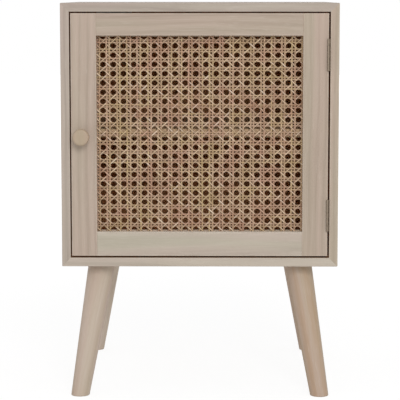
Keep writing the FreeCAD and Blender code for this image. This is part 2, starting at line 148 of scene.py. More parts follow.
# Swings to a metre of each layer of the grain, along it and then both ways across it.
DRIFT_WAVES = (2.6, 9.0, 9.0)
STREAK_WAVES = (3.0, 120.0, 120.0)
FIBRE_WAVES = (15.0, 620.0, 620.0)
PATCH_WAVES = (4.0, 14.0, 14.0)
WASH_WAVES = (1.7, 40.0, 40.0)
PORE_WAVES = (24.0, 1400.0, 1400.0)

# Rings are drawn out along the grain, and the whole grain drifts sideways within this reach.
RING_STRETCH = (0.1, 1.0, 1.0)
RING_WOBBLE = {"Distortion": 1.2, "Detail": 2.0, "Detail Scale": 0.8}
DRIFT_REACH = 0.022

# What each layer adds to the tone, and the sum at which the wood is all brown, or all pale if it
# lies that far below zero.
RING_WEIGHT = 0.25
STREAK_WEIGHT = 1.0
FIBRE_WEIGHT = 0.5
PATCH_WEIGHT = 0.6
FULL_BROWN = 0.55

# Where one tint of the wash gives way to the other, and where a ring ends in a dark line.
TINT_TURN = (0.35, 0.65)
PINK_TINT = (1.03, 0.985, 0.985, 1.0)
GREEN_TINT = (0.985, 1.012, 0.965, 1.0)
LATE_WOOD = (0.8, 1.0)
LINED_PATCHES = (0.4, 0.6)

# Pores are filled with lime, lie a little below the fibres, and the lacquer follows the fibres.
PORE_EDGE = (0.58, 0.72)
LIME = paint(222, 212, 200)
LIME_SHARE = 0.16
PORE_HEIGHT = -0.6
LACQUER_ROUGHNESS = (0.52, 0.66)


def limed_grain_group():
    """Limed wood whose grain runs along X: soft rings, streaks, fibres and pale pores."""
    tree, given, result = node_group(
        "limed_grain",
        {"Vector": "Vector", "Pale": "Color", "Brown": "Color", "Line": "Color",
         "Ring Scale": "Float", "Figure": "Float"},
        {"Color": "Color", "Roughness": "Float", "Height": "Float"})
    place = given.outputs["Vector"]
    drift = from_middle(tree, noise(tree, stretch(tree, place, DRIFT_WAVES)))
    drift = calc(tree, "MULTIPLY", drift, DRIFT_REACH)
    bent = add(tree, "VectorMath", (place, add(tree, "CombineXYZ", (0.0, drift, drift))))
    rings = add(tree, "TexWave", {"Vector": stretch(tree, bent, RING_STRETCH),
                                  "Scale": given.outputs["Ring Scale"], **RING_WOBBLE},
                wave_type="RINGS", rings_direction="X")
    streaks = noise(tree, stretch(tree, bent, STREAK_WAVES), detail=3.0)
    fibres = noise(tree, stretch(tree, bent, FIBRE_WAVES))
    patches = noise(tree, stretch(tree, place, PATCH_WAVES))
    tone = calc(tree, "MULTIPLY", from_middle(tree, rings), RING_WEIGHT)
    for layer, weight in ((streaks, STREAK_WEIGHT), (fibres, FIBRE_WEIGHT), (patches, PATCH_WEIGHT)):
        tone = calc(tree, "MULTIPLY_ADD", from_middle(tree, layer), weight, tone)
    tone = ease(tree, tone, -FULL_BROWN, FULL_BROWN)
    colour = blend(tree, tone, given.outputs["Pale"], given.outputs["Brown"])
    wash = noise(tree, stretch(tree, place, WASH_WAVES))
    tint = blend(tree, ease(tree, wash, *TINT_TURN), PINK_TINT, GREEN_TINT)
    colour = blend(tree, 1.0, colour, tint, "MULTIPLY")
    lines = calc(tree, "MULTIPLY", ease(tree, rings, *LATE_WOOD), ease(tree, patches, *LINED_PATCHES))
    lines = calc(tree, "MULTIPLY", lines, given.outputs["Figure"])
    colour = blend(tree, lines, colour, given.outputs["Line"])
    pores = ease(tree, noise(tree, stretch(tree, bent, PORE_WAVES), detail=1.0), *PORE_EDGE)
    feed(tree, result, {
        "Color": blend(tree, calc(tree, "MULTIPLY", pores, LIME_SHARE), colour, LIME),
        "Roughness": ease(tree, fibres, *NOISE_SPAN, *LACQUER_ROUGHNESS),
        "Height": calc(tree, "MULTIPLY_ADD", pores, PORE_HEIGHT, fibres)})
    return tree


def depths_in_box(tree, given):
    """How deep a point lies in a group's box, along each axis; less than 0 is outside it."""
    place, low, high = (given.outputs[name] for name in ("Vector", "Low", "High"))
    from_low = add(tree, "VectorMath", (place, low), operation="SUBTRACT")
    to_high = add(tree, "VectorMath", (high, place), operation="SUBTRACT")
    inside = add(tree, "VectorMath", (from_low, to_high), operation="MINIMUM")
    return add(tree, "SeparateXYZ", (inside,)).outputs


# An edge's paleness, partly wear and partly painted highlight, comes and goes along it: swings
# to a metre, and the least and most of its reach.
RUB_WAVES = (55.0, 55.0, 55.0)
RUB_SPAN = (0.5, 1.3)


def worn_highlit_edges_group():
    """How close a point on a squared board is to the board's nearest edge, 1 on the edge."""
    tree, given, result = node_group(
        "worn_highlit_edges", {"Vector": "Vector", "Low": "Vector", "High": "Vector", "Reach": "Float"},
        {"Mask": "Float"})
    x, y, z = depths_in_box(tree, given)
    least = calc(tree, "MINIMUM", x, y)
    most = calc(tree, "MAXIMUM", x, y)
    second = calc(tree, "MAXIMUM", least, calc(tree, "MINIMUM", most, z))
    patches = noise(tree, stretch(tree, given.outputs["Vector"], RUB_WAVES))
    reach = calc(tree, "MULTIPLY", given.outputs["Reach"], ease(tree, patches, *NOISE_SPAN, *RUB_SPAN))
    feed(tree, result, {"Mask": ease(tree, second, 0.0, reach, 1.0, 0.0)})
    return tree


def within_box_group():
    """1 for points inside a box, 0 for points outside it."""
    tree, given, result = node_group(
        "within_box", {"Vector": "Vector", "Low": "Vector", "High": "Vector"}, {"Mask": "Float"})
    x, y, z = depths_in_box(tree, given)
    least = calc(tree, "MINIMUM", calc(tree, "MINIMUM", x, y), z)
    feed(tree, result, {"Mask": calc(tree, "GREATER_THAN", least, 0.0)})
    return tree


limed_grain = limed_grain_group()
worn_highlit_edges = worn_highlit_edges_group()
within_box = within_box_group()

# The way a piece's grain runs, and how far it leans off that way, in radians.
LEVEL = (1, 0, 0)
UPRIGHT = (0, 0, 1)
GRAIN_LEAN = 0.03


def grain_place(tree, along, shift):
    """The place on a piece, and that place turned to its grain along X and moved to its own log."""
    turn = Vector(along).rotation_difference(Vector(LEVEL)).to_euler()
    turn.rotate_axis("Z", GRAIN_LEAN)
    place = place_on(tree)
    return place, add(tree, "Mapping", {"Vector": place, "Location": shift, "Rotation": turn})


def shade(tone, change, warmth=0):
    """A colour some levels lighter, or darker, than a tone given as 0 to 255, and warmer."""
    red, green, blue = (level + change for level in tone)
    return paint(red + warmth, green, blue - warmth)


# Pale streak, brown streak and dark line, in spreads from the tone of washed and of bare wood.
WASHED_STEPS = (1, -1, -3)
BARE_STEPS = (1, -1, -2)

# The bare wood inside starts behind a washed lip, and the margin takes in the boards' faces.
INSIDE_TONE = (210, 154, 98)
INSIDE_SPREAD = 14
INSIDE_MARGIN = Vector((0.0001, 0.0, 0.0001))
WASHED_LIP = 0.004
inside_low = Vector((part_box("left_side_panel")[1].x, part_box("left_side_panel")[0].y + WASHED_LIP,
                     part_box("bottom_panel")[1].z)) - INSIDE_MARGIN
inside_high = Vector((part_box("right_side_panel")[0].x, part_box("bottom_panel")[1].y,
                      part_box("top_panel")[0].z)) + INSIDE_MARGIN

# How far pale edges reach, and how many levels lighter the wood is there, from wear and as
# painted highlight, and on an upward ledge where light is painted. The painted ledge light
# starts a little behind the front edge.
EDGE_REACH = 0.0016
WORN_HIGHLIT_LIFT = 27
PAINTED_LEDGE_LIFT = 40
PAINTED_LEDGE_SETBACK = 0.0005

# The strength and depth of the grain's relief, and how much the matt lacquer reflects.
GRAIN_RELIEF = (0.25, 0.0003)
LACQUER_GLOSS = 0.35


def limed_wood(name, along, shift, tone, spread=9, box=None, wear_and_highlight=0.0, ring_scale=34.0,
               figure=0.3, unwashed_inside=False, painted_ledge_depth=0.0, warmth=0):
    """The finish of one board. Its streaks lie a spread to either side of its tone, the brown
    ones some levels warmer and the pale ones as much cooler. Box is its lowest and highest
    corner; a second value says how pale its edges are, from wear and as painted highlight;
    figure says how plain its lines show; and the ledge depth is how deep a band of painted
    light lies along its upper edge, which faces up."""
    material, tree, skin = new_finish(name)
    place, turned = grain_place(tree, along, shift)
    pale, brown, line = (shade(tone, step * spread, warmth if step < 0 else -warmth)
                         for step in WASHED_STEPS)
    if unwashed_inside:
        inside = add(tree, "Group", {"Vector": place, "Low": inside_low, "High": inside_high},
                     node_tree=within_box)
        bare = [shade(INSIDE_TONE, step * INSIDE_SPREAD) for step in BARE_STEPS]
        pale, brown, line = (blend(tree, inside, *pair) for pair in zip((pale, brown, line), bare))
    grain = add(tree, "Group", {"Vector": turned, "Pale": pale, "Brown": brown, "Line": line,
                                "Ring Scale": ring_scale, "Figure": figure}, node_tree=limed_grain)
    colour = grain.outputs["Color"]
    # Edges paler from wear, and from a painted highlight where the arrises catch light.
    if box:
        edges = add(tree, "Group", {"Vector": place, "Low": box[0], "High": box[1],
                                    "Reach": EDGE_REACH}, node_tree=worn_highlit_edges)
        colour = blend(tree, calc(tree, "MULTIPLY", edges, wear_and_highlight), colour, shade(tone, WORN_HIGHLIT_LIFT))
    # Painted light on the upper ledge, paler where it faces up.
    if painted_ledge_depth:
        painted_ledge_front = (box[0].x, box[0].y + PAINTED_LEDGE_SETBACK, box[1].z - painted_ledge_depth)
        painted_ledge = add(tree, "Group", {"Vector": place, "Low": painted_ledge_front,
                                    "High": box[1] + INSIDE_MARGIN}, node_tree=within_box)
        colour = blend(tree, painted_ledge, colour, shade(tone, PAINTED_LEDGE_LIFT))
    feed(tree, skin, {"Base Color": colour, "Roughness": grain.outputs["Roughness"],
                      "Specular IOR Level": LACQUER_GLOSS,
                      "Normal": relief(tree, grain.outputs["Height"], *GRAIN_RELIEF)})
    return material


def dress(node, material):
    """Gives a node of the frame its finish."""
    parts[node].data.materials.clear()
    parts[node].data.materials.append(material)


# Each board's grain, its place in the log, its tone, and how pale its edges are, from wear and
# as painted highlight.
for node, along, shift, tone, wear_and_highlight in (
        ("top_panel", LEVEL, (0.2, 0.31, -0.30), (179, 165, 155), 0.25),
        ("bottom_panel", LEVEL, (0.1, 0.24, -0.11), (194, 182, 169), 0.25),
        ("left_side_panel", UPRIGHT, (1.3, 0.05, 0.12), (182, 167, 157), 0.25),
        # The right board's edges are painted paler still, as painted light in the shaded gap by the
        # door.
        ("right_side_panel", UPRIGHT, (1.9, 0.10, -0.25), (180, 165, 148), 0.9)):
    dress(node, limed_wood(node + "_wood", along, shift, tone, box=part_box(node), wear_and_highlight=wear_and_highlight,
                           unwashed_inside=True))


# ------------------------------------------------------------------- mitre keys
# Four thin beech keys glued across the mitres inside the board corners. Nothing of them
# shows once the cabinet is together.

FRONT_TO_BACK = (0, 1, 0)
BEECH = (191, 160, 123)
BEECH_SPREAD = 15
dress("corner_splines", limed_wood("beech_key", FRONT_TO_BACK, shift=(0.4, 0.1, 0.2), tone=BEECH,
                                   spread=BEECH_SPREAD))


# ------------------------------------------------------------------- back board
# 3 mm plywood let into a rebate and nailed round its edge with flat-headed steel nails.
# Its veneers run upright; the outer one has a coat of the same wash, the inner one is bare.

dress("back_panel", limed_wood("back_plywood", UPRIGHT, shift=(0.9, 0.4, 0.3),
                               tone=(178, 158, 136), spread=14, figure=0.5, unwashed_inside=True))

# Dull patches and scratches in the plating: swings to a metre, and what they add in roughness.
DULL_WAVES = (260.0, 260.0, 260.0)
DULL_TURN = (0.35, 0.7)
DULL_ROUGHNESS = 0.18
SCRATCH_WAVES = (3800.0, 3800.0, 320.0)
SCRATCH_ROUGHNESS = 0.12
SCRATCH_RELIEF = (0.12, 0.0001)


def worn_metal_group():
    """Plated metal that has dulled in patches, with fine scratches."""
    tree, given, result = node_group(
        "worn_metal", {"Vector": "Vector", "Bright": "Color", "Dull": "Color", "Gloss": "Float"},
        {"Color": "Color", "Roughness": "Float", "Height": "Float"})
    place = given.outputs["Vector"]
    dulled = ease(tree, noise(tree, stretch(tree, place, DULL_WAVES), detail=4.0), *DULL_TURN)
    scratches = noise(tree, stretch(tree, place, SCRATCH_WAVES))
    rough = calc(tree, "MULTIPLY_ADD", dulled, DULL_ROUGHNESS, given.outputs["Gloss"])
    feed(tree, result, {
        "Color": blend(tree, dulled, given.outputs["Bright"], given.outputs["Dull"]),
        "Roughness": calc(tree, "MULTIPLY_ADD", scratches, SCRATCH_ROUGHNESS, rough),
        "Height": scratches})
    return tree


worn_metal = worn_metal_group()


def plated(name, bright, dull, gloss=0.3):
    """A plated steel or brass finish; gloss is its roughness where it is bright."""
    material, tree, skin = new_finish(name)
    wear = add(tree, "Group", {"Vector": place_on(tree), "Bright": bright, "Dull": dull,
                               "Gloss": gloss}, node_tree=worn_metal)
    feed(tree, skin, {"Metallic": 1.0, "Base Color": wear.outputs["Color"],
                      "Roughness": wear.outputs["Roughness"],
                      "Normal": relief(tree, wear.outputs["Height"], *SCRATCH_RELIEF)})
    return material


zinc_screws = plated("zinc_screws", bright=paint(188, 184, 174), dull=paint(150, 144, 132))
dress("back_panel_nails", zinc_screws)


# ------------------------------------------------------------------------ shelf
# One loose 11 mm board, eased all round, that lies on four steel pins in the side boards.
# The wash is thinner inside the cabinet, so the shelf is a little browner. Its tone and its
# edges are also painted paler: painted light where it lies dim behind the cane.

dress("shelf", limed_wood("shelf_wood", LEVEL, shift=(0.5, 0.52, -0.2), tone=(214, 183, 144),
                          spread=12, box=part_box("shelf"), wear_and_highlight=0.5))
dress("shelf_pins", zinc_screws)


# ------------------------------------------------------------------------- legs
# Four turned, tapered legs of the same limed wood. Each leans outwards both ways, and is cut
# flush under the cabinet and level at the foot, where its rim is rounded.

# How far a leg runs outwards, frontwards or backwards, and down, in metres.
LEG_LEAN = (0.0268, 0.038, -0.167)
LEG_LOGS = {"left": (-0.11, 0.055, 0.13), "right": (0.52, 0.125, 0.31)}
LEG_WARMTHS = {"left": 2, "right": 5}
# Each leg's tone. The rear legs are painted paler, as painted light against the shade they stand in.
LEG_TONES_WITH_PAINTED_LIGHT = {"front_left": (197, 181, 165), "rear_left": (222, 207, 191),
             "front_right": (186, 165, 144), "rear_right": (199, 180, 161)}

for hand, side in (("left", -1), ("right", 1)):
    for row, end in (("front", -1), ("rear", 1)):
        leg = row + "_" + hand
        along = (side * LEG_LEAN[0], end * LEG_LEAN[1], LEG_LEAN[2])
        log = LEG_LOGS[hand]
        shift = (log[0], log[1] * end, log[2])
        dress(leg + "_leg", limed_wood(leg + "_leg_wood", along, shift, LEG_TONES_WITH_PAINTED_LIGHT[leg], spread=8,
                                       ring_scale=26.0, figure=0.2, warmth=LEG_WARMTHS[hand]))


# ----------------------------------------------------------------- leg fixings
# A hanger bolt in each leg screws into a flanged nut in the bottom board, and a small
# beech dowel beside it stops the leg from turning.

dress("leg_bolts", zinc_screws)
dress("leg_tee_nuts", plated("yellow_zinc", bright=paint(196, 178, 128), dull=paint(160, 138, 92),
                             gloss=0.35))
dress("leg_dowels", limed_wood("beech_dowel", UPRIGHT, shift=(0.1, 0.02, 0.05), tone=BEECH,
                               spread=BEECH_SPREAD))


# ------------------------------------------------------------------------ catch
# Magnetic catch under the top board: a pale moulded case with two screws, and a black
# magnet between two steel pole plates that meets the plate on the door.

# The skin's pits and the cloudiness under it: swings to a metre, relief and roughness.
PEEL_WAVES = (1500.0, 1500.0, 1500.0)
PEEL_RELIEF = (0.2, 0.0001)
PEEL_ROUGHNESS = 0.12
CLOUD_WAVES = (160.0, 160.0, 160.0)


def moulded(name, colour, fleck, rough):
    """Moulded plastic or pressed ferrite, with a fine orange-peel skin."""
    material, tree, skin = new_finish(name)
    place = place_on(tree)
    peel = noise(tree, stretch(tree, place, PEEL_WAVES))
    cloud = ease(tree, noise(tree, stretch(tree, place, CLOUD_WAVES)), *NOISE_SPAN)
    feed(tree, skin, {"Base Color": blend(tree, cloud, colour, fleck),
                      "Roughness": ease(tree, peel, *NOISE_SPAN, rough, rough + PEEL_ROUGHNESS),
                      "Normal": relief(tree, peel, *PEEL_RELIEF)})
    return material


dress("catch_housing", moulded("catch_plastic", colour=paint(214, 202, 184),
                               fleck=paint(204, 191, 171), rough=0.4))
dress("catch_magnet", moulded("ferrite", colour=paint(52, 50, 49), fleck=paint(70, 67, 64),
                              rough=0.55))
dress("catch_pole_plates", zinc_screws)
dress("catch_screws", zinc_screws)


# ----------------------------------------------------------------------- hinges
# Two steel butt hinges with five knuckles, let in between door and cabinet so that only
# the barrels show. They are plated a dull grey bronze, with a painted highlight along the
# barrels' fronts and painted shade where the leaves turn into the gap.

BRONZE = paint(128, 114, 98)
DULL_LEAF = paint(96, 85, 72)
DULL_PIN = paint(88, 77, 64)
# Painted highlight on the barrels' fronts, and painted shade where they turn into the gap.
PAINTED_HIGHLIGHT_BRONZE = paint(142, 129, 114)
PAINTED_SHADE_BRONZE = paint(107, 94, 81)
BRONZE_GLOSS = 0.38

# Measured from the pins' axis, in metres: a barrel has its painted highlight left of the turn,
# fully so beyond the front fade, and painted shade right of the turn, back to the gap depth.
BARREL_TURN = 0.0005
TURN_FADE = 0.0003
FRONT_FADE = 0.0006
GAP_DEPTH = 0.004
GAP_FADE = 0.002


def painted_light_bronze():
    """Grey bronze, with painted highlight on the barrels' fronts and painted shade in the gap."""
    material = plated("painted_light_bronze", BRONZE, DULL_LEAF, BRONZE_GLOSS)
    tree = material.node_tree
    skin = tree.nodes["Principled BSDF"]
    bronze = skin.inputs["Base Color"].links[0].from_socket
    low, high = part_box("upper_hinge_pin")
    axis = (low + high) / 2
    x, y, z = add(tree, "SeparateXYZ", (place_on(tree),)).outputs
    rightwards = calc(tree, "SUBTRACT", x, axis.x)
    backwards = calc(tree, "SUBTRACT", y, axis.y)
    turn = (BARREL_TURN, BARREL_TURN + TURN_FADE)
    # Painted highlight along the barrel's front, and painted shade in the gap to its right.
    painted_highlight = calc(tree, "MULTIPLY", ease(tree, rightwards, *turn, 1.0, 0.0),
                    ease(tree, backwards, -FRONT_FADE, 0.0, 1.0, 0.0))
    painted_gap_shade = calc(tree, "MULTIPLY", ease(tree, rightwards, *turn),
                  ease(tree, backwards, GAP_DEPTH, GAP_DEPTH + GAP_FADE, 1.0, 0.0))
    colour = blend(tree, painted_highlight, bronze, PAINTED_HIGHLIGHT_BRONZE)
    feed(tree, skin, {"Base Color": blend(tree, painted_gap_shade, colour, PAINTED_SHADE_BRONZE)})
    return material


leaf_painted_light_bronze = painted_light_bronze()
pin_bronze = plated("grey_bronze", BRONZE, DULL_PIN, BRONZE_GLOSS)
for hinge in ("upper_hinge", "lower_hinge"):
    dress(hinge + "_carcass_leaf", leaf_painted_light_bronze)
    dress(hinge + "_door_leaf", leaf_painted_light_bronze)
    dress(hinge + "_pin", pin_bronze)
dress("carcass_hinge_screws", pin_bronze)
dress("door_hinge_screws", pin_bronze)


# ------------------------------------------------------------------- door frame
# Two stiles and two rails of the limed wood, joined by stub tenons. The stiles run the whole
# height with upright grain, and the rails between them have theirs level. Along the upper edge
# of the bottom rail, below the cane, the ledge is painted paler: painted light where it faces up.

# Each piece's grain, its place in the log, its tone, how plain its lines are, and how deep the
# painted light lies on its upper ledge.
for node, along, shift, tone, figure, painted_ledge_depth in (
        ("door_left_stile", UPRIGHT, (0.2, 0.035, 0.09), (184, 168, 153), 0.25, 0.0),
        ("door_right_stile", UPRIGHT, (0.8, 0.20, -0.14), (180, 163, 148), 0.15, 0.0),
        ("door_top_rail", LEVEL, (0.5, 0.17, -0.33), (177, 161, 146), 0.4, 0.0),
        ("door_bottom_rail", LEVEL, (1.4, 0.19, -0.20), (189, 178, 164), 0.25, 0.0009)):
    # Their edges are paler from wear and from a painted highlight along the arrises.
    dress(node, limed_wood(node + "_wood", along, shift, tone, box=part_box(node), wear_and_highlight=0.7,
                           figure=figure, painted_ledge_depth=painted_ledge_depth))


# ------------------------------------------------------------------- cane panel
# Six-way weave of peeled rattan: pairs of upright and level strands in plain weave, and single
# diagonals, one way over the upright pairs and the other way over the level ones. The sheet
# lies in the frame's rebate, behind its lip, where the beads hold it.

# The weave's pitch from hole to hole, how far it lies off the middle of the opening, and how far
# inside the sheet's edge its strands end.
CANE_PITCH_X = 0.0130
CANE_PITCH_Z = 0.01165
CANE_SHIFT = 0.0014
CANE_LIFT = 0.0004
EDGE_MARGIN = 0.0014

# The strands, the slit between the two of a pair, and how far each kind rises over the others.
UPRIGHT_WIDTH = 0.00252
LEVEL_WIDTH = 0.00202
DIAGONAL_WIDTH = 0.00195
PAIR_SLIT = 0.0012
PLAIN_THICKNESS = 0.00055
DIAGONAL_THICKNESS = 0.0005
PLAIN_RISE = 0.00032
DIAGONAL_RISE = 0.0007

# A diagonal stays up over one pair and down under the next, and crosses between them faster the
# less its softness is. The level brings its crest back to the full rise.
CREST_SOFTNESS = 0.25
CREST_LEVEL = 1.118

# One strand's section, as shares of half its width and of its thickness. Diagonals run half a
# pitch off the pairs, and one that spans under half a pitch, in a corner, is left out.
SECTION = ((-1.0, 0.0), (-0.55, 0.5), (0.55, 0.5), (1.0, 0.0), (0.55, -0.5), (-0.55, -0.5))
SAMPLES_PER_PITCH = 6
FEWEST_SAMPLES = 2
DIAGONAL_OFFSET = 0.5
SHORTEST_DIAGONAL = 0.5

# Strands wander sideways in slow waves, in metres and in radians to a metre, and differ in width.
WANDER = 0.0002
WANDER_WAVES = (25, 70)
WANDER_START = (0, 6)
WIDTH_SPAN = (0.92, 1.1)

# How much of the bright outer skin a strand shows. Diagonals show more, and one way is painted
# paler than the other, as painted light for how the two ways catch the lamp.
PLAIN_SKIN = 0.35
DIAGONAL_SKIN = 0.85
DIAGONAL_PAINTED_LIGHT_STEP = 0.12

cane_low, cane_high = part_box("cane_webbing")
weave_centre = (cane_low + cane_high) / 2 + Vector((CANE_SHIFT, 0.0, CANE_LIFT))
weave_left = cane_low.x + EDGE_MARGIN - weave_centre.x
weave_right = cane_high.x - EDGE_MARGIN - weave_centre.x
weave_foot = cane_low.z + EDGE_MARGIN - weave_centre.z
weave_head = cane_high.z - EDGE_MARGIN - weave_centre.z
CHANCE_SEED = 11
chance = random.Random(CHANCE_SEED)


def plain_rise(distance, pitch, offset, sign):
    """Height of a plain-woven strand: over one strand of each crossed pair, under the other."""
    from_pair = distance - pitch * np.round(distance / pitch)
    swing = np.where(np.abs(from_pair) < 2 * offset, np.sin(math.pi * from_pair / (2 * offset)), 0.0)
    return sign * PLAIN_RISE * swing


def diagonal_rise(across, sign):
    """Height of a diagonal: over every pair of one kind and under every pair of the other."""
    swing = np.cos(2 * math.pi * across / CANE_PITCH_X)
    return sign * DIAGONAL_RISE * swing * CREST_LEVEL / np.sqrt(swing ** 2 + CREST_SOFTNESS)


def lay_strand(web, start, end, rise, width, thickness, brightness):
    """Adds one strand from start to end, both measured from the weave's centre."""
    start, end = np.array(start), np.array(end)
    length = float(np.linalg.norm(end - start))
    count = max(FEWEST_SAMPLES, round(length / CANE_PITCH_X * SAMPLES_PER_PITCH))
    share = np.linspace(0.0, 1.0, count + 1)
    way = (end - start) / length
    side = np.array((-way[1], way[0]))
    path = start + (end - start) * share[:, None]
    height = rise(path[:, 0], path[:, 1])
    wander = chance.uniform(-WANDER, WANDER) + chance.uniform(-WANDER, WANDER) * share
    waves = share * length * chance.uniform(*WANDER_WAVES) + chance.uniform(*WANDER_START)
    wander = wander + WANDER * np.sin(waves)
    path = path + side * wander[:, None]
    width = width * chance.uniform(*WIDTH_SPAN)
    tone = chance.random()
    first = len(web["places"])
    for k, (u, v) in enumerate(path):
        for across, up in SECTION:
            reach = across * width / 2
            web["places"].append((weave_centre.x + u + side[0] * reach,
                                  weave_centre.y - height[k] - up * thickness,
                                  weave_centre.z + v + side[1] * reach))
            web["lay"].extend((share[k] * length, across, tone))
            web["skin"].append(brightness)
    ring = len(SECTION)
    for k in range(count):
        base = first + k * ring
        for r in range(ring):
            s = (r + 1) % ring
            web["faces"].append((base + r, base + s, base + ring + s, base + ring + r))
    web["faces"].append(tuple(range(first + ring - 1, first - 1, -1)))
    web["faces"].append(tuple(range(first + count * ring, first + count * ring + ring)))


def diagonal_ends(offset, slope):
    """Where the diagonal u / pitch_x + slope * v / pitch_z = offset leaves the sheet, or None."""
    ends = sorted(offset - slope * limit / CANE_PITCH_Z for limit in (weave_foot, weave_head))
    low = max(weave_left / CANE_PITCH_X, ends[0])
    high = min(weave_right / CANE_PITCH_X, ends[1])
    if high - low < SHORTEST_DIAGONAL:
        return None
    return [(u * CANE_PITCH_X, slope * (offset - u) * CANE_PITCH_Z) for u in (low, high)]


def strand_mesh(web):
    """The mesh of all strands that were laid, with their two attributes."""
    mesh = bpy.data.meshes.new("cane_weave")
    mesh.from_pydata(web["places"], [], web["faces"])
    mesh.attributes.new("lay", "FLOAT_VECTOR", "POINT").data.foreach_set("vector", web["lay"])
    mesh.attributes.new("skin", "FLOAT", "POINT").data.foreach_set("value", web["skin"])
    shell = bmesh.new()
    shell.from_mesh(mesh)
    bmesh.ops.recalc_face_normals(shell, faces=shell.faces)
    shell.to_mesh(mesh)
    shell.free()
    mesh.shade_smooth()
    return mesh


def weave_cane():
    """All the strands of the panel as one mesh."""
    web = {"places": [], "faces": [], "lay": [], "skin": []}
    upright_offset = (UPRIGHT_WIDTH + PAIR_SLIT) / 2
    level_offset = (LEVEL_WIDTH + PAIR_SLIT) / 2
    columns = range(math.ceil(weave_left / CANE_PITCH_X), math.floor(weave_right / CANE_PITCH_X) + 1)
    rows = range(math.ceil(weave_foot / CANE_PITCH_Z), math.floor(weave_head / CANE_PITCH_Z) + 1)
    for i in columns:
        for side in (-1, 1):
            u = i * CANE_PITCH_X + side * upright_offset
            lay_strand(web, (u, weave_foot), (u, weave_head),
                       lambda u, v, s=side: plain_rise(v, CANE_PITCH_Z, level_offset, s),
                       UPRIGHT_WIDTH, PLAIN_THICKNESS, PLAIN_SKIN)
    for j in rows:
        for side in (-1, 1):
            v = j * CANE_PITCH_Z + side * level_offset
            lay_strand(web, (weave_left, v), (weave_right, v),
                       lambda u, v, s=side: plain_rise(u, CANE_PITCH_X, upright_offset, -s),
                       LEVEL_WIDTH, PLAIN_THICKNESS, PLAIN_SKIN)
    # Diagonals show more skin, and one way is painted paler, as painted light.
    for slope in (1, -1):
        for k in range(-len(columns) - len(rows), len(columns) + len(rows)):
            ends = diagonal_ends(k + DIAGONAL_OFFSET, slope)
            if ends:
                lay_strand(web, *ends, lambda u, v, s=slope: diagonal_rise(u, s), DIAGONAL_WIDTH,
                           DIAGONAL_THICKNESS, DIAGONAL_SKIN + DIAGONAL_PAINTED_LIGHT_STEP * slope)
    return strand_mesh(web)


# Hues that strands come in, what the skin, the sun and wear lay over them, and the painted shade
# along each strand's edges.
CANE_HUES = ((176, 140, 92), (192, 166, 106), (182, 142, 120), (172, 136, 98), (202, 158, 132))
BRIGHT_SKIN = paint(227, 200, 170)
REDDISH = paint(180, 124, 104)
GREENISH = paint(180, 156, 94)
BLEACHED = paint(236, 217, 198)
DARK_STREAK = paint(128, 94, 62)
PAINTED_EDGE_SHADE = paint(90, 58, 30)

# Each as ease takes it: between which two values, and how much of the colour at either end.
REDDENING = (0.5, 0.66, 0.0, 0.5)
GREENING = (0.34, 0.5, 0.4, 0.0)
BLEACHING = (0.54, 0.7, 0.0, 0.75)
DARKENING = (0.35, 0.62, 0.75, 0.0)
EDGE_SHADE = (0.55, 1.0, 0.0, 0.7)
CANE_ROUGHNESS = (0.34, 0.52)
STREAK_RELIEF = (0.3, 0.0001)

# Swings to a metre of strand, and from its middle to its edge. The seed's reach and the row keep
# one strand, and one kind of noise, apart from the next.
STREAKS_ALONG = 60.0
STREAKS_ACROSS = 3.5
SLOW_ALONG = 22.0
BLEACH_ALONG = 48.0
BLEACH_ROW = 4.0
SEED_REACH = 93.0
SHEET_WAVES = (42.0, 42.0, 42.0)
STREAK_PART, SLOW_PART = 0.6, 0.4


def strand_noise(tree, along, swings, row, seed, detail=2.0):
    """Soft random values along a strand, which differ from strand to strand."""
    place = add(tree, "CombineXYZ", (calc(tree, "MULTIPLY", along, swings), row, seed))
    return noise(tree, place, detail)


def cane_skin():
    """Peeled rattan: glossy straw skin with fine streaks along each strand, each its own hue."""
    material, tree, skin = new_finish("peeled_cane")
    lay = add(tree, "Attribute", attribute_name="lay")
    along, across, tone = add(tree, "SeparateXYZ", (lay.outputs["Vector"],)).outputs
    skin_tone = add(tree, "Attribute", attribute_name="skin").outputs["Fac"]
    seed = calc(tree, "MULTIPLY", tone, SEED_REACH)
    sideways = calc(tree, "MULTIPLY", across, STREAKS_ACROSS)
    streaks = strand_noise(tree, along, STREAKS_ALONG, sideways, seed, detail=3.0)
    slow = strand_noise(tree, along, SLOW_ALONG, 0.0, seed)
    patch = strand_noise(tree, along, BLEACH_ALONG, BLEACH_ROW, seed)
    cloud = noise(tree, stretch(tree, place_on(tree), SHEET_WAVES), detail=3.0)
    grime = calc(tree, "ADD", calc(tree, "MULTIPLY", streaks, STREAK_PART),
                 calc(tree, "MULTIPLY", slow, SLOW_PART))
    hue = add(tree, "ValToRGB", (tone,))
    stops = hue.color_ramp.elements
    stops[0].color = paint(*CANE_HUES[0])
    stops[1].color = paint(*CANE_HUES[-1])
    for step, colour in enumerate(CANE_HUES[1:-1], start=1):
        stops.new(step / (len(CANE_HUES) - 1)).color = paint(*colour)
    colour = hue.outputs["Color"]
    for share, wash in (
            (skin_tone, BRIGHT_SKIN),
            (ease(tree, cloud, *REDDENING), REDDISH),
            (ease(tree, cloud, *GREENING), GREENISH),
            (calc(tree, "MULTIPLY", ease(tree, patch, *BLEACHING), skin_tone), BLEACHED),
            (ease(tree, grime, *DARKENING), DARK_STREAK),
            # Painted shade along each strand's edges, beside the holes.
            (ease(tree, calc(tree, "ABSOLUTE", across), *EDGE_SHADE), PAINTED_EDGE_SHADE)):
        colour = blend(tree, share, colour, wash)
    feed(tree, skin, {"Base Color": colour,
                      "Roughness": ease(tree, streaks, *NOISE_SPAN, *CANE_ROUGHNESS),
                      "Normal": relief(tree, streaks, *STREAK_RELIEF)})
    return material


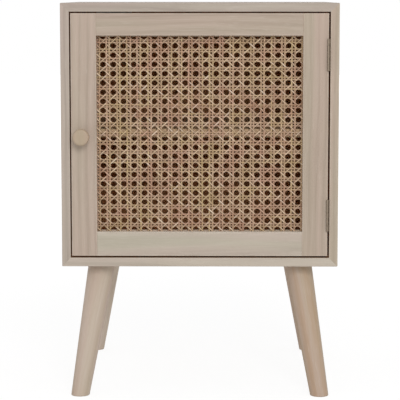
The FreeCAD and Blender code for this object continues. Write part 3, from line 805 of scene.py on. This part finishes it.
def put_in_scene(name, data):
    """A new object in the scene, which holds a mesh, a lamp or a camera."""
    thing = bpy.data.objects.new(name, data)
    bpy.context.scene.collection.objects.link(thing)
    return thing


cane = put_in_scene("woven_cane", weave_cane())
cane.data.materials.append(cane_skin())
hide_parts("cane_webbing")
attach(cane, "door")


# ------------------------------------------------------------------ cane beads
# Four mitred strips, pinned with headless brads into the frame from the back. They press
# the cane against the lip and stand a little proud of it inside the opening.

for node, along, shift in (("cane_bead_top", LEVEL, (0.3, 0.1, 0.02)),
                           ("cane_bead_bottom", LEVEL, (0.6, 0.14, 0.2)),
                           ("cane_bead_left", UPRIGHT, (0.9, 0.18, 0.05)),
                           ("cane_bead_right", UPRIGHT, (0.1, 0.22, 0.3))):
    dress(node, limed_wood(node + "_wood", along, shift, tone=(186, 168, 148)))
dress("cane_bead_brads", zinc_screws)


# ------------------------------------------------------------------------ knob
# Turned wooden knob with a waisted neck, limed like the door. A brass sleeve in its foot
# takes the screw that comes through the stile from the back.

dress("knob", limed_wood("knob_wood", UPRIGHT, shift=(0.2, 0.07, 0.12), tone=(181, 161, 140),
                         spread=3, figure=0.1))
dress("knob_insert", plated("turned_brass", bright=paint(206, 176, 112), dull=paint(168, 136, 80),
                            gloss=0.25))
dress("knob_screw", zinc_screws)


# ---------------------------------------------------------------- strike plate
# Bright steel plate on the back of the top rail, where the magnet holds the door, with one
# countersunk screw.

dress("strike_plate", zinc_screws)
dress("strike_screw", zinc_screws)


# ---------------------------------------------------------------------- studio
# A pale floor without an edge, an even white surround and one large soft lamp above the
# front. The camera looks at the door, slightly down.

WHITE = (1.0, 1.0, 1.0, 1.0)

# How strong the surround's white light is, and the lamp in watts and metres.
SURROUND_LIGHT = 0.6
LAMP_POWER = 29.8
LAMP_SIZE = 1.0
LAMP_PLACE = Vector((0.4, -2.8, 1.5))
LAMP_TARGET = Vector((0.0, 0.0, 0.3))

# The camera stands aside of the middle, aims beside it, and stands back from the boards' front
# edges, in metres. Its pitch is in degrees, and its lens and sensor are in millimetres.
CAMERA_ASIDE = 0.02
CAMERA_AIM = 0.0003
CAMERA_BACK = 2.2074
CAMERA_HEIGHT = 0.510
CAMERA_PITCH = 6.664
CAMERA_LENS = 158.08
CAMERA_SENSOR = 36.0

# Seen directly, the floor glows: in part near the object, so that its shadow shows, and fully
# further out. The fade is two distances from the middle and the share that glows at each.
FLOOR_RADIUS = 9.0
FLOOR_SIDES = 96
FLOOR_GREY = (0.86, 0.86, 0.86, 1.0)
FLOOR_GLOW = 1.12
FLOOR_FADE = (0.4, 2.5, 0.78, 1.0)


def seen_directly(tree):
    """1 for rays from the camera or off gloss and through glass, 0 for rays of light."""
    path = add(tree, "LightPath").outputs
    seen = calc(tree, "MAXIMUM", path["Is Camera Ray"], path["Is Glossy Ray"])
    return calc(tree, "MAXIMUM", seen, path["Is Transmission Ray"])


def white_surround():
    """An even light that looks plain white."""
    world = bpy.data.worlds.new("surround")
    world.use_nodes = True
    tree = world.node_tree
    strength = calc(tree, "MULTIPLY_ADD", seen_directly(tree), 1.0 - SURROUND_LIGHT, SURROUND_LIGHT)
    feed(tree, tree.nodes["Background"], {"Color": WHITE, "Strength": strength})
    bpy.context.scene.world = world


def floor_finish():
    """Matt white that keeps shadows near the object and fades into the surround."""
    material, tree, _ = new_finish("floor_white")
    distance = add(tree, "VectorMath", (place_on(tree),), operation="LENGTH").outputs["Value"]
    share = calc(tree, "MULTIPLY", seen_directly(tree), ease(tree, distance, *FLOOR_FADE))
    matt = add(tree, "BsdfDiffuse", {"Color": FLOOR_GREY})
    glow = add(tree, "Emission", {"Color": WHITE, "Strength": FLOOR_GLOW})
    surface = add(tree, "MixShader", (share, matt, glow))
    feed(tree, tree.nodes["Material Output"], {"Surface": surface})
    return material


def pale_floor():
    """A wide round floor."""
    shape = bmesh.new()
    bmesh.ops.create_circle(shape, cap_ends=True, segments=FLOOR_SIDES, radius=FLOOR_RADIUS)
    mesh = bpy.data.meshes.new("floor")
    shape.to_mesh(mesh)
    shape.free()
    mesh.materials.append(floor_finish())
    floor = put_in_scene("floor", mesh)


def soft_lamp():
    """One big square lamp, aimed at the door."""
    data = bpy.data.lights.new("soft_lamp", "AREA")
    data.shape = "SQUARE"
    data.size = LAMP_SIZE
    data.energy = LAMP_POWER
    lamp = put_in_scene("soft_lamp", data)
    lamp.location = LAMP_PLACE
    lamp.rotation_euler = (LAMP_TARGET - LAMP_PLACE).to_track_quat("-Z", "Y").to_euler()


def camera():
    """The view of the front, from a little above the top board."""
    data = bpy.data.cameras.new("camera")
    data.lens = CAMERA_LENS
    data.sensor_width = CAMERA_SENSOR
    view = put_in_scene("camera", data)
    view.location = (CAMERA_ASIDE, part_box("left_side_panel")[0].y - CAMERA_BACK, CAMERA_HEIGHT)
    yaw = math.atan((CAMERA_ASIDE - CAMERA_AIM) / CAMERA_BACK)
    view.rotation_euler = (math.radians(90 - CAMERA_PITCH), 0.0, yaw)
    bpy.context.scene.camera = view


white_surround()
pale_floor()
soft_lamp()
camera()
bpy.context.scene.view_settings.view_transform = "Standard"
